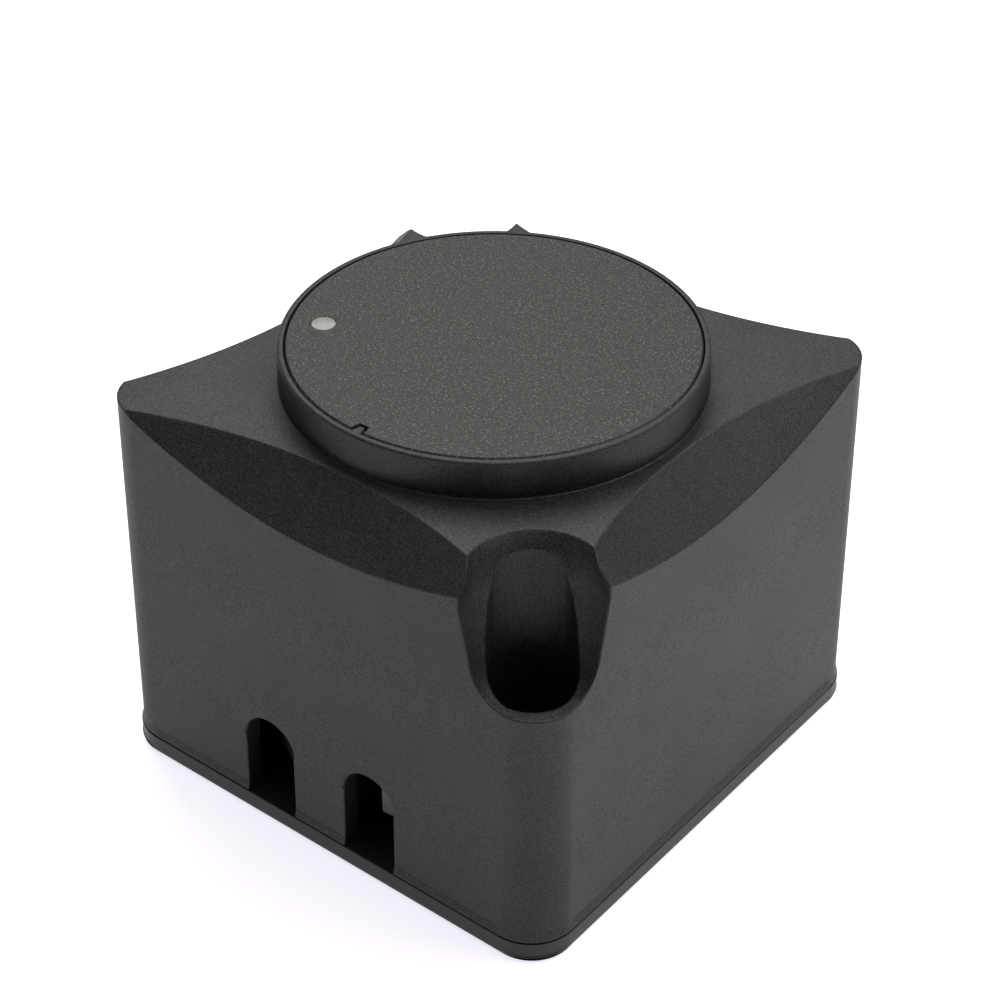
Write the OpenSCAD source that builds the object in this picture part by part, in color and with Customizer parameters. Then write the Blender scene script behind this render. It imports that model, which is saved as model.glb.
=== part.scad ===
// Battery isolator relay: a square moulded housing with a round collar, over a
// round relay module on a terminal block, closed below by a thin base plate.
// Millimetres. Origin at the middle of the base's underside, Z up. The two
// cable openings are in the -Y wall.

/* [Housing] */
// Width across the bottom lip and the base plate
overall_w = 68; // [67:0.5:74]
// Height of the flat top above the underside
housing_top = 52.2; // [50:0.1:58]
// Height of the round collar above the flat top
collar_h = 4.85; // [3:0.05:6]
// Width of the collar's flat ring outside the seam
collar_wall = 0.8; // [0.6:0.05:0.9]
// How far the wall leans in from the seam to the top, on each side
draft = 0.6; // [0.2:0.1:1]
// Radius of the four upright corners
corner_r = 5.9; // [4.5:0.1:7]
// Wall thickness
wall = 2.4; // [2:0.1:2.8]
// Thickness of the flat top
roof_t = 2.6; // [2:0.1:3.5]
// How far the bottom lip stands out past the wall
lip_out = 0.3; // [0.1:0.05:0.5]
// Height of the bottom lip
lip_h = 1.3; // [0.8:0.1:2]
// Depth of the hollow bevel at mid side, along the top and down the wall
bevel_w = 6.3; // [5:0.1:6.8]
// Radius of the round cutter that hollows each bevel
bevel_r = 98; // [90:1:140]

/* [Corner pockets] */
// Distance from the wall to the mounting screw's axis
pocket_inset = 6.9; // [6.6:0.1:7.4]
// Radius of the well for the screw's head
well_r = 5.15; // [4.8:0.05:5.4]
// Wall left round the well
well_wall = 1.8; // [1.4:0.1:2.2]
// Radius of the hole for the mounting screw
mount_hole_r = 2.75; // [2.2:0.05:3.2]
// Thickness of the seat under the screw's head, above the base plate
seat_t = 3; // [2:0.1:5]
// Radius of the bowl that opens the well through the corner
scoop_r = 9.75; // [9.2:0.05:10.2]
// How far the bowl's axis lies past the well's, along the diagonal
scoop_out = 5.9; // [5.4:0.1:6.4]
// Depth of the bowl's floor below the flat top
scoop_depth = 16; // [14:0.1:19]
// Depth of the bowl's upright part
scoop_upright = 4.6; // [3.5:0.1:6]
// Lean of the bowl's wall below that, in degrees
scoop_lean = 12.6; // [8:0.1:15]
// Rounding between the bowl's wall and its floor
scoop_round = 5.2; // [3.5:0.1:6]
// Radius of the pocket's edge on the flat top
mouth_r = 7.78; // [7.5:0.02:8]
// How far the mouth's centre lies past the well's, along the diagonal
mouth_out = 1; // [0.6:0.1:1.4]
// Depth of the mouth's sloping band
mouth_depth = 1.4; // [1:0.1:2]
// Radius of the throat, at the foot of that band
throat_r = 7.9; // [7.6:0.05:8.2]
// How far the throat's centre lies past the well's, along the diagonal
throat_out = 2.7; // [2.4:0.1:3.2]

/* [Cable openings] */
// Width of one arched opening
arch_w = 7.8; // [7:0.1:9]
// Height of the arch's crown above the underside
arch_top = 15.9; // [14:0.1:17]
// Distance between the two openings, and between the two terminals
terminal_pitch = 15.8; // [15:0.1:17]

/* [Base plate] */
// Thickness of the base plate
base_t = 2.9; // [2.4:0.1:3.4]
// Rounding of its lower edge
foot_r = 0.9; // [0.5:0.1:1.2]
// Height of the fine gap between the base plate and the housing's wall
seam_line = 0.2; // [0.1:0.05:0.3]
// Height of the ribs that locate the housing
rib_h = 1.5; // [1:0.1:2.5]
// Radius of the long screws that hold the base
base_screw_r = 1.5; // [1.2:0.05:1.7]
// Radius of their heads
base_screw_head_r = 2.8; // [2.4:0.1:3]
// Distance from the wall to the base screws' axes
base_screw_inset = 7.5; // [7:0.1:8.5]

/* [Module] */
// Outside radius of the round module's cap
cap_r = 24.6; // [24.2:0.1:25]
// Gap between the cap and the collar
seam_gap = 0.15; // [0.1:0.05:0.35]
// Side wall of the cap
cap_wall = 1.6; // [1.3:0.1:1.8]
// Thickness of the cap's disc
cap_top_t = 2; // [1.5:0.1:2.5]
// Thickness of the cap's foot flange
cap_flange_t = 1.6; // [1.2:0.1:2]
// Height of the terminal space above the base plate
chamber_h = 12.8; // [12.4:0.1:14]
// Thickness of the terminal block's plate
block_t = 4; // [3.4:0.1:4.8]
// Depth of the key tooth that stops the cap from turning
key_depth = 1.4; // [1:0.1:1.8]
// Width of the key tooth at its tip
key_w = 1; // [0.8:0.1:1.6]
// Distance of the light window from the disc's edge
window_inset = 4.1; // [4:0.1:5]
// Radius of the light window
window_r = 1.5; // [1.2:0.05:1.6]
// Bearing of the light window, from +X
window_angle = -150.7; // [-165:0.1:-140]

/* [Terminals] */
// Radius of the terminal studs
stud_r = 3; // [2.5:0.1:3.2]
// Distance from the wall's inside face to the studs' axes
stud_inset = 7.5; // [7.2:0.1:9]
// Width of a terminal bar
bar_w = 9; // [8.4:0.1:10]
// Thickness of a terminal bar
bar_t = 2; // [1.6:0.1:2.4]
// Width of the nuts across their flats
nut_af = 10; // [9.4:0.1:10.6]
// Height of the nuts
nut_h = 4.8; // [4.2:0.1:5.2]
// Outside radius of the flat washers
washer_r = 6; // [5.6:0.1:6.2]
// Thickness of the flat washers
washer_t = 1.2; // [1:0.1:1.4]
// Thickness of the spring washers
spring_washer_t = 1.5; // [1.2:0.1:1.6]
// Width of the negative blade
tab_w = 6.3; // [4.8:0.1:6.8]
// Thickness of the negative blade
tab_t = 0.8; // [0.5:0.05:1]
// Length of the negative blade below the block
tab_len = 8; // [6:0.1:9]

/* [Contacts] */
// Gap between the open contacts
contact_gap = 1.85; // [1.5:0.05:2.1]
// Travel of the plunger after the contacts meet
over_travel = 0.6; // [0.4:0.05:0.8]
// Thickness of the silver faces
silver_t = 0.8; // [0.5:0.05:1]
// Radius of the contact posts
post_r = 3.2; // [2.8:0.1:3.6]
// Thickness of the bridge bar
bridge_t = 1.5; // [1.2:0.1:2]
// Width of the bridge bar
bridge_w = 8; // [7:0.1:8.6]
// Radius of the contact chamber, as a share of the cap's spigot
chamber_share = 0.783; // [0.76:0.005:0.8]
// Length of the contact spring
contact_spring_h = 2.6; // [2.2:0.1:3.2]

/* [Magnet] */
// Radius of the plunger's rod
rod_r = 1.5; // [1.2:0.05:1.6]
// Radius of the plunger
plunger_r = 5; // [4.6:0.1:5.4]
// Radius of the winding, as a share of the cap's spigot
coil_share = 0.632; // [0.58:0.005:0.65]
// Thickness of the steel frame
frame_t = 2; // [1.6:0.1:2.4]
// Width of the steel frame
frame_w = 20; // [16:0.5:22]
// Wire radius of the return spring
spring_wire_r = 0.28; // [0.2:0.02:0.3]

/* [Circuit] */
// Thickness of the circuit board
board_t = 1.6; // [1.2:0.1:2]
// Gap between the magnet and the board
board_gap = 1; // [0.8:0.1:1.6]
// Height of the indicator light
led_h = 3.2; // [2.6:0.1:3.6]

/* [Hidden] */
$fn = 64;
// Overrun of the cutters
cut = 1;
// Thickness of the discs that span a slope
film = 0.02;
// Clearance between two seated pieces
seat_gap = 0.1;
// Clearance between two pressed pieces
press_gap = 0.02;
// Clearance between the block and the housing
fit_gap = 0.35;
// Radial clearance of the sliding fits
slide_gap = 0.08;
// Clearance round what moves
run_gap = 0.35;

// Housing
half_seam = overall_w / 2 - lip_out;
half_top = half_seam - draft;
disc_top = housing_top + collar_h;
bore_r = cap_r + seam_gap;
collar_r = bore_r + collar_wall;
collar_round = 0.35;
tube_wall = 1.8;
seam_line_d = 0.6;

// Places along the diagonals
well_c = half_seam - pocket_inset;
scoop_c = well_c + scoop_out / sqrt(2);
mouth_c = well_c + mouth_out / sqrt(2);
throat_c = well_c + throat_out / sqrt(2);
screw_c = half_seam - base_screw_inset;
pocket_corners = [-45, 135];
screw_corners = [45, -135];
boss_wall = 2.7;
boss_r = base_screw_r + boss_wall;
boss_web = 1.4;
pillar_wall = 2.4;
pillar_r = base_screw_r + pillar_wall;

// Heights, from the bottom up
seat_z = base_t + seat_t;
block_z = base_t + chamber_h;
block_top = block_z + block_t;
bar_z = block_z - bar_t;
washer_z = bar_z - washer_t;
spring_washer_z = washer_z - spring_washer_t;
nut_z = spring_washer_z - nut_h;
stud_end_gap = 0.8;
stud_z = base_t + stud_end_gap;
flange_top = block_top + cap_flange_t;
post_rise = 1.8;
post_top = block_top + post_rise;
fixed_face = post_top + silver_t;
bridge_z = fixed_face + contact_gap + silver_t;
bridge_top = bridge_z + bridge_t;
bush_flange_t = 0.6;
spring_seat = bridge_top + bush_flange_t;
rod_collar_z = spring_seat + contact_spring_h;
rod_collar_t = 1;
stop_gap = 0.3;
frame_z = rod_collar_z + rod_collar_t + stop_gap;
bobbin_z = frame_z + frame_t;
cap_inside = disc_top - cap_top_t;
lens_flange_t = 0.8;
led_gap = 0.3;
board_top = cap_inside - lens_flange_t - led_gap - led_h;
board_z = board_top - board_t;
yoke_top = board_z - board_gap;
bobbin_top = yoke_top - frame_t;
bobbin_h = bobbin_top - bobbin_z;

// Travel
touch_gap = 0.05;
bridge_travel = contact_gap - touch_gap;
plunger_travel = bridge_travel + over_travel;
residual_gap = 0.2;

// Base screws
head_sink = 0.2;
screw_cone_h = base_screw_head_r - base_screw_r;
screw_grip = 9;
screw_point = 1.2;
drive_w = 0.6;
drive_d = 0.9;
drive_len = 3.4;

// Base plate
rib_t = 1.2;
rib_len = 30;

// Terminals
stud_x = terminal_pitch / 2;
stud_y = -(half_seam - wall - stud_inset);
stud_tip = 0.5;
head_t = 1.6;
head_out = 1.2;
head_r = stud_r + head_out;
washer_play = 0.2;
washer_hole_r = stud_r + washer_play;
spring_washer_w = 2.1;
spring_washer_r = washer_hole_r + spring_washer_w;
spring_washer_split = 0.8;
nut_bevel = 0.5;
nut_turns = [30, 14];
block_half = half_top - wall - fit_gap;
block_corner_r = 3;
divider_t = 2;
divider_len = 16;
divider_gap = 0.3;
tab_room = 2.7;
tab_corner = 1;
tab_stem_w = 3;
tab_stem_rise = 1.5;

// Cap, seal and window
cap_inner_r = cap_r - cap_wall;
cap_edge = 0.2;
cap_flange_r = bore_r + tube_wall - fit_gap;
spigot_gap = 0.4;
spigot_r = cap_inner_r - spigot_gap;
spigot_wall = 1.4;
spigot_h = 3.2;
spigot_inner_r = spigot_r - spigot_wall;
tab_x = tab_room - spigot_inner_r;
chamber_r = chamber_share * spigot_inner_r;
coil_r = coil_share * spigot_inner_r;
groove_d = 0.7;
groove_h = 1.4;
groove_rise = 1;
seal_r = 0.53;
lens_flange_out = 0.6;
key_h = 1.6;
key_slope = 0.35;
key_gap = 0.18;

// Contacts
post_tail_r = 1.8;
post_edge = 0.2;
fixed_r = post_r - post_edge;
button_r = 2.6;
bridge_end = 3.3;
bridge_half = stud_x + bridge_end;
guide_gap = 0.6;
pocket_wall = 1.6;
pocket_w = 14;
pocket_d = 5.5;
pocket_roof = 2;
bush_wall = 1.4;
bush_r = rod_r + bush_wall;
bush_flange_w = 1;
bush_flange_r = bush_r + bush_flange_w;
contact_wire_r = 0.25;
contact_coil_gap = 0.7;
contact_mean_r = rod_r + contact_coil_gap;
contact_turns = 3;
clip_t = 0.6;
clip_w = 1.5;
clip_r = rod_r + clip_w;
clip_mouth = 1.6;
clip_z = bridge_z - seat_gap - clip_t;
rod_tail = 0.8;
rod_collar_w = 1.1;
rod_collar_r = rod_r + rod_collar_w;

// Magnet
bobbin_bore_r = plunger_r + run_gap;
bobbin_wall = 1;
bobbin_tube_r = bobbin_bore_r + bobbin_wall;
bobbin_flange_t = 1.2;
coil_edge = 0.6;
bobbin_flange_r = coil_r + coil_edge;
frame_side_gap = 0.7;
frame_side_y = bobbin_flange_r + frame_side_gap;
core_share = 0.45;
core_r = bobbin_bore_r - seat_gap;
core_step = 1.6;
core_neck_r = core_r - core_step;
core_top = bobbin_z + core_share * bobbin_h;
plunger_z = core_top + plunger_travel + residual_gap;
plunger_clear = 0.4;
plunger_top = board_z - plunger_clear;
plunger_cap_t = 1;
spring_well = 2.4;
spring_coil_gap = 1.2;
spring_mean_r = rod_r + spring_coil_gap;
spring_play = 0.42;
spring_well_r = spring_mean_r + spring_wire_r + spring_play;
spring_turns = 5;

// Circuit
board_edge_gap = 0.6;
board_r = cap_inner_r - board_edge_gap;
lug_w = 8;
lug_out = 2.6;
lug_x = bobbin_flange_r + lug_out;
pin_r = 0.4;
pin_inset = 1.6;
pin_x = lug_x - pin_inset;
pin_drop = 1.6;
pin_rise = 0.8;
peg_r = 1.3;
peg_y = 2.6;
lead_r = 0.2;
hole_gap = 0.1;
wire_r = 0.5;
sense_out = 1;
sense_gap = 0.9;
sense_r = chamber_r + sense_out;
sense_x = frame_w / 2 + wire_r + sense_gap;
sense_y = -sqrt(pow(sense_r, 2) - pow(sense_x, 2));
ear_r = 1.2;
wires = [[sense_x, sense_y, block_z], [-sense_x, sense_y, block_z], [tab_x, 0, block_top + tab_stem_rise]];
window_place = [(cap_r - window_inset) * cos(window_angle), (cap_r - window_inset) * sin(window_angle)];
led_foot_out = 0.3;
led_foot_r = window_r + led_foot_out;
led_foot_t = 0.6;
// Sizes of the moulded packages, and of their legs: count, width, pitch and reach
leg_t = 0.25;
chip_size = [5, 4, 1.5];
chip_legs = [4, 0.4, 1.27, 1];
chip_place = [0, 4];
transistor_size = [6.5, 6, 2.3];
transistor_legs = [2, 0.8, 4.6, 1.4];
transistor_place = [9, -7];
transistor_tab = [5.2, 2, 0.6];
regulator_size = [4.5, 2.5, 1.5];
regulator_legs = [3, 0.5, 1.5, 0.8];
regulator_place = [-8, 9];
diode_size = [4.3, 2.6, 2.2];
diode_place = [8, 10];
diode_cap = [0.6, 1.6, 1.2];
resistor_size = [2, 1.25, 0.5];
resistor_places = [[-8, -2], [-8, 1], [-4, -6], [0, -6], [-4, 12], [0, 12]];
capacitor_r = 2.4;
capacitor_h = 7;
capacitor_edge = 0.8;
capacitor_gap = 1;
capacitor_x = frame_w / 2 + capacitor_gap + capacitor_r;
capacitor_y = sqrt(pow(board_r - capacitor_r - capacitor_edge, 2) - pow(capacitor_x, 2));

// Shapes that several pieces share

module rounded_square(half, r) {
    square([2 * half, 2 * (half - r)], center = true);
    square([2 * (half - r), 2 * half], center = true);
    for (x = [-1, 1], y = [-1, 1])
        translate([x * (half - r), y * (half - r)])
            circle(r);
}

// Block that leans in towards the top, as it leaves the mould
module drafted_block(half_low, half_high, r, z0, z1) {
    translate([0, 0, z0])
        linear_extrude(z1 - z0, scale = half_high / half_low)
            rounded_square(half_low, r);
}

module on_diagonal(angle, c) {
    rotate(angle)
        translate([c * sqrt(2), 0, 0])
            children();
}

module at_terminals(y) {
    for (side = [-1, 1])
        translate([side * stud_x, y, 0])
            children();
}

module rod(r, z0, z1) {
    translate([0, 0, z0])
        cylinder(r = r, h = z1 - z0);
}

module ring(r_out, r_in, z0, z1) {
    difference() {
        rod(r_out, z0, z1);
        rod(r_in, z0 - cut, z1 + cut);
    }
}

module block(w, d, z0, z1) {
    translate([-w / 2, -d / 2, z0])
        cube([w, d, z1 - z0]);
}

// Coil of round wire along Z, one unbroken tube
module wire_coil(mean_r, wire_r, length, turns) {
    rings = ceil(turns * 12);
    sides = 6;
    points = [
        for (i = [0:rings], k = [0:sides - 1])
            let (
                turn = 360 * turns * i / rings,
                r = mean_r + wire_r * cos(360 * k / sides),
                rise = (length - 2 * wire_r) * i / rings,
                z = wire_r + rise + wire_r * sin(360 * k / sides)
            )
            [r * cos(turn), r * sin(turn), z]
    ];
    skin = [
        for (i = [0:rings - 1], k = [0:sides - 1])
            let (a = i * sides + k, b = i * sides + (k + 1) % sides)
            each [[a, b, b + sides], [a, b + sides, a + sides]]
    ];
    first = [for (k = [1:sides - 2]) [0, k + 1, k]];
    end = rings * sides;
    last = [for (k = [1:sides - 2]) [end, end + k, end + k + 1]];
    polyhedron(points, concat(skin, first, last));
}

// Housing and its cutters

// Round cutter that hollows one top edge, deepest at mid side
module bevel_cutter() {
    translate([0, -half_top, housing_top])
        rotate([45, 0, 0])
            translate([0, 0, bevel_r - bevel_w / sqrt(2)])
                rotate([90, 0, 0])
                    cylinder(r = bevel_r, h = overall_w, center = true);
}

// Everything outside one sloping face of the hollow, a wall's thickness inside the bevel
module cavity_slope() {
    span = 3 * overall_w;
    translate([0, -half_top, housing_top])
        rotate([45, 0, 0])
            translate([-span / 2, -span / 2, -bevel_w / sqrt(2) - wall])
                cube([span, span, span]);
}

// Section of the bowl, from its floor up; extra makes its wall
module scoop_section(extra) {
    r = scoop_r + extra;
    bend = scoop_round + extra;
    low = housing_top - scoop_depth - extra;
    upright = housing_top - scoop_upright;
    middle = low + bend;
    bend_x = r - (upright - middle) * tan(scoop_lean) - bend / cos(scoop_lean);
    foot_x = bend_x + bend * cos(scoop_lean);
    foot_z = middle - bend * sin(scoop_lean);
    polygon([
        [0, low], [bend_x, low], [bend_x, middle], [foot_x, foot_z],
        [r, upright], [r, housing_top + cut], [0, housing_top + cut]
    ]);
    intersection() {
        translate([bend_x, middle])
            circle(bend);
        translate([0, low])
            square([r, 2 * bend]);
    }
}

module scoop(extra) {
    on_diagonal(0, scoop_c)
        rotate_extrude()
            scoop_section(extra);
}

// Sloping band round the opening
module mouth() {
    hull() {
        on_diagonal(0, mouth_c)
            rod(mouth_r, housing_top, housing_top + cut);
        on_diagonal(0, throat_c)
            rod(throat_r, housing_top - mouth_depth - film, housing_top - mouth_depth);
    }
}

// Back of the pocket, from the foot of the band to the bowl's upright part
module throat() {
    low = housing_top - scoop_upright;
    hull() {
        on_diagonal(0, throat_c)
            rod(throat_r, housing_top - mouth_depth - film, housing_top - mouth_depth);
        on_diagonal(0, scoop_c)
            rod(scoop_r, low - film, low);
    }
}

module pocket() {
    on_diagonal(0, well_c) {
        rod(well_r, seat_z, disc_top);
        rod(mount_hole_r, base_t - cut, seat_z + cut);
    }
    scoop(0);
    mouth();
    throat();
}

module cavity() {
    roof = housing_top - roof_t;
    difference() {
        drafted_block(half_seam - wall, half_top - wall, corner_r - wall, base_t - cut, roof);
        for (side = [0:3])
            rotate(90 * side)
                cavity_slope();
        ring(bore_r + tube_wall, bore_r - cut, flange_top + seat_gap, roof + cut);
        for (angle = pocket_corners)
            rotate(angle) {
                on_diagonal(0, well_c)
                    rod(well_r + well_wall, 0, roof + cut);
                scoop(well_wall);
            }
        for (angle = screw_corners)
            on_diagonal(angle, screw_c)
                boss(roof + cut);
    }
}

// Post for a base screw, with a web to each wall of its corner
module boss(top) {
    rod(boss_r, block_top, top);
    for (turn = [-45, 45])
        rotate(turn)
            translate([0, -boss_web / 2, block_top])
                cube([2 * boss_r, boss_web, top - block_top]);
}

module arch() {
    r = arch_w / 2;
    depth = wall + 3 * cut;
    translate([0, -half_seam - cut, 0]) {
        translate([-r, 0, 0])
            cube([arch_w, depth, arch_top - r]);
        translate([0, 0, arch_top - r])
            rotate([-90, 0, 0])
                cylinder(r = r, h = depth);
    }
}

module collar_profile() {
    inner = collar_r - collar_round;
    translate([0, housing_top - roof_t])
        square([collar_r, roof_t + collar_h - collar_round]);
    translate([0, housing_top])
        square([inner, collar_h]);
    translate([inner, disc_top - collar_round])
        circle(collar_round);
}

// Tooth that stands in from the collar's ring; grow makes the notch that takes it
module key_shape(grow) {
    root = bore_r + collar_wall / 2;
    tip = bore_r - key_depth - grow;
    tip_half = key_w / 2 + grow;
    root_half = tip_half + key_slope;
    polygon([[-root_half, -root], [root_half, -root], [tip_half, -tip], [-tip_half, -tip]]);
}

module shell() {
    difference() {
        drafted_block(half_seam, half_top, corner_r, base_t, housing_top);
        for (side = [0:3])
            rotate(90 * side)
                bevel_cutter();
    }
    drafted_block(overall_w / 2, half_seam, corner_r + lip_out, base_t, base_t + lip_h);
    rotate_extrude()
        collar_profile();
}

// Fine gap round the foot of the wall, over the base plate
module seam_cutter() {
    translate([0, 0, base_t - cut])
        linear_extrude(seam_line + cut)
            difference() {
                square(2 * overall_w, center = true);
                rounded_square(half_seam - seam_line_d, corner_r - seam_line_d);
            }
}

module housing() {
    color([0.2, 0.2, 0.205]) {
        difference() {
            shell();
            cavity();
            seam_cutter();
            rod(bore_r, base_t, disc_top + cut);
            for (angle = pocket_corners)
                rotate(angle)
                    pocket();
            at_terminals(0)
                arch();
            for (angle = screw_corners)
                on_diagonal(angle, screw_c)
                    rod(base_screw_r + press_gap, block_top - cut, block_top + screw_grip + cut);
        }
        translate([0, 0, disc_top - key_h])
            linear_extrude(key_h)
                key_shape(0);
    }
}

// Base

// Rounded lower edge, in two slopes
module foot_edge() {
    half = overall_w / 2;
    middle = foot_r * (1 - cos(45));
    drafted_block(half - foot_r, half - middle, corner_r + lip_out - foot_r, 0, middle);
    drafted_block(half - middle, half, corner_r + lip_out - middle, middle, foot_r);
}

module base_plate() {
    inside = half_seam - wall - fit_gap;
    color([0.17, 0.16, 0.155])
        difference() {
            union() {
                foot_edge();
                translate([0, 0, foot_r])
                    linear_extrude(base_t - foot_r)
                        rounded_square(overall_w / 2, corner_r + lip_out);
                for (angle = [0, 90, 180])
                    rotate(angle)
                        translate([inside - rib_t, -rib_len / 2, base_t / 2])
                            cube([rib_t, rib_len, base_t / 2 + rib_h]);
            }
            for (angle = pocket_corners)
                on_diagonal(angle, well_c)
                    rod(mount_hole_r, -cut, base_t + cut);
            for (angle = screw_corners)
                on_diagonal(angle, screw_c) {
                    rod(base_screw_r + hole_gap, -cut, base_t + cut);
                    cylinder(
                        r1 = base_screw_head_r + head_sink + hole_gap,
                        r2 = base_screw_r + hole_gap,
                        h = head_sink + screw_cone_h
                    );
                }
        }
}

module base_screw() {
    top = block_top + screw_grip;
    difference() {
        union() {
            translate([0, 0, head_sink])
                cylinder(r1 = base_screw_head_r, r2 = base_screw_r, h = screw_cone_h);
            rod(base_screw_r, head_sink + screw_cone_h, top - screw_point);
            translate([0, 0, top - screw_point])
                cylinder(r1 = base_screw_r, r2 = base_screw_r / 3, h = screw_point);
        }
        for (turn = [0, 90])
            rotate(turn)
                block(drive_len, drive_w, head_sink - cut, head_sink + drive_d);
    }
}

module base_screws() {
    color([0.72, 0.72, 0.74])
        for (angle = screw_corners)
            on_diagonal(angle, screw_c)
                base_screw();
}

// Round module

module module_cap() {
    color([0.22, 0.22, 0.22])
        difference() {
            union() {
                rod(cap_r, block_top, disc_top - cap_edge);
                translate([0, 0, disc_top - cap_edge])
                    cylinder(r1 = cap_r, r2 = cap_r - cap_edge, h = cap_edge);
                rod(cap_flange_r, block_top, flange_top);
            }
            rod(cap_inner_r, block_top - cut, cap_inside);
            translate(window_place)
                rod(window_r, cap_inside - cut, disc_top + cut);
            translate([0, 0, disc_top - key_h - key_gap])
                linear_extrude(key_h + key_gap + cut)
                    key_shape(key_gap);
        }
}

module window_lens() {
    color([0.75, 0.75, 0.74])
        translate(window_place) {
            rod(window_r - press_gap, cap_inside - lens_flange_t / 2, disc_top);
            rod(window_r + lens_flange_out, cap_inside - lens_flange_t, cap_inside);
        }
}

module sealing_ring() {
    color([0.1, 0.1, 0.1])
        translate([0, 0, block_top + groove_rise + groove_h / 2])
            rotate_extrude()
                translate([cap_inner_r - seal_r - press_gap, 0])
                    circle(seal_r);
}

module terminal_block() {
    color([0.14, 0.14, 0.15])
        difference() {
            union() {
                translate([0, 0, block_z])
                    linear_extrude(block_t)
                        rounded_square(block_half, block_corner_r);
                for (angle = screw_corners)
                    on_diagonal(angle, screw_c)
                        rod(pillar_r, base_t, block_z + block_t / 2);
                rod(spigot_r, block_z + block_t / 2, block_top + spigot_h);
                translate([-divider_t / 2, -block_half, base_t + divider_gap])
                    cube([divider_t, divider_len, block_z + block_t / 2 - base_t - divider_gap]);
            }
            rod(spigot_inner_r, block_top, block_top + spigot_h + cut);
            ring(cap_r, spigot_r - groove_d, block_top + groove_rise, block_top + groove_rise + groove_h);
            for (angle = pocket_corners)
                on_diagonal(angle, well_c)
                    rod(well_r + well_wall + fit_gap, block_z - cut, block_top + cut);
            for (angle = screw_corners)
                on_diagonal(angle, screw_c)
                    rod(base_screw_r + hole_gap, base_t - cut, block_top + cut);
            at_terminals(stud_y)
                rod(head_r + seat_gap, block_z - cut, block_z + head_t + seat_gap);
            at_terminals(0)
                rod(post_r + press_gap, block_z - cut, block_top + cut);
            for (place = wires)
                translate([place[0], place[1], 0])
                    rod(wire_r + hole_gap, block_z - cut, block_top + cut);
            translate([tab_x, 0, 0])
                block(tab_t + 2 * press_gap, tab_stem_w + 2 * press_gap, block_z - cut, block_top + cut);
        }
}

// Bars with an ear each for the wire that measures their battery
module terminal_bars() {
    color([0.72, 0.5, 0.3]) {
        for (side = [-1, 1])
            translate([side * (stud_x + sense_x) / 2, sense_y, 0])
                block(sense_x - stud_x, 2 * ear_r, bar_z, block_z);
        for (side = [-1, 1])
            translate([side * sense_x, sense_y, 0])
                rod(ear_r, bar_z, block_z);
        at_terminals(0)
            difference() {
                union() {
                    translate([-bar_w / 2, stud_y, bar_z])
                        cube([bar_w, -stud_y, bar_t]);
                    rod(bar_w / 2, bar_z, block_z);
                    translate([0, stud_y, 0])
                        rod(bar_w / 2, bar_z, block_z);
                }
                rod(post_tail_r + press_gap, bar_z - cut, block_z + cut);
                translate([0, stud_y, 0])
                    rod(stud_r + press_gap, bar_z - cut, block_z + cut);
            }
    }
}

module terminal_studs() {
    color([0.78, 0.76, 0.7])
        at_terminals(stud_y) {
            translate([0, 0, stud_z])
                cylinder(r1 = stud_r - stud_tip, r2 = stud_r, h = stud_tip);
            rod(stud_r, stud_z + stud_tip, block_z + head_t / 2);
            rod(head_r, block_z, block_z + head_t);
        }
}

module flat_washers() {
    color([0.75, 0.75, 0.76])
        at_terminals(stud_y)
            ring(washer_r, washer_hole_r, washer_z, bar_z);
}

module spring_washers() {
    color([0.6, 0.6, 0.61])
        at_terminals(stud_y)
            difference() {
                ring(spring_washer_r, washer_hole_r, spring_washer_z, washer_z);
                translate([spring_washer_r, 0, 0])
                    block(2 * spring_washer_r, spring_washer_split, spring_washer_z - cut, washer_z + cut);
            }
}

module hex_nut() {
    corner = nut_af / 2 / cos(30);
    flat_r = nut_af / 2 - nut_bevel / 4;
    difference() {
        intersection() {
            cylinder(r = corner, h = nut_h, $fn = 6);
            rotate_extrude()
                polygon([
                    [0, 0], [flat_r, 0], [corner, nut_bevel],
                    [corner, nut_h - nut_bevel], [flat_r, nut_h], [0, nut_h]
                ]);
        }
        rod(stud_r + press_gap, -cut, nut_h + cut);
    }
}

module terminal_nuts() {
    color([0.78, 0.77, 0.74])
        for (side = [0, 1])
            translate([(2 * side - 1) * stud_x, stud_y, nut_z])
                rotate(nut_turns[side])
                    hex_nut();
}

module negative_tab() {
    half = tab_w / 2;
    color([0.75, 0.66, 0.4])
        translate([tab_x, 0, 0]) {
            difference() {
                translate([-tab_t / 2, 0, block_z])
                    rotate([90, 0, 90])
                        linear_extrude(tab_t)
                            polygon([
                                [-half, 0], [-half, tab_corner - tab_len], [tab_corner - half, -tab_len],
                                [half - tab_corner, -tab_len], [half, tab_corner - tab_len], [half, 0]
                            ]);
                translate([0, 0, block_z - tab_len / 2])
                    rotate([0, 90, 0])
                        cylinder(r = tab_t, h = 2 * tab_t + cut, center = true);
            }
            block(tab_t, tab_stem_w, block_z - tab_t, block_top + tab_stem_rise);
        }
}

// Contacts

module contact_posts() {
    color([0.74, 0.48, 0.3])
        at_terminals(0) {
            rod(post_r, block_z, post_top);
            rod(post_tail_r, bar_z, block_z + bar_t / 2);
        }
}

module fixed_contacts() {
    color([0.86, 0.86, 0.85])
        at_terminals(0)
            rod(fixed_r, post_top, fixed_face);
}

module contact_chamber() {
    color([0.55, 0.45, 0.33])
        difference() {
            rod(chamber_r, block_top, frame_z);
            block(
                2 * (bridge_half + guide_gap), bridge_w + 2 * guide_gap,
                block_top - cut, frame_z + cut
            );
            for (side = [-1, 1])
                translate([0, side * (bridge_w / 2 + guide_gap + pocket_wall + pocket_d / 2), 0])
                    block(pocket_w, pocket_d, block_top - cut, frame_z - pocket_roof);
        }
}

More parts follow.
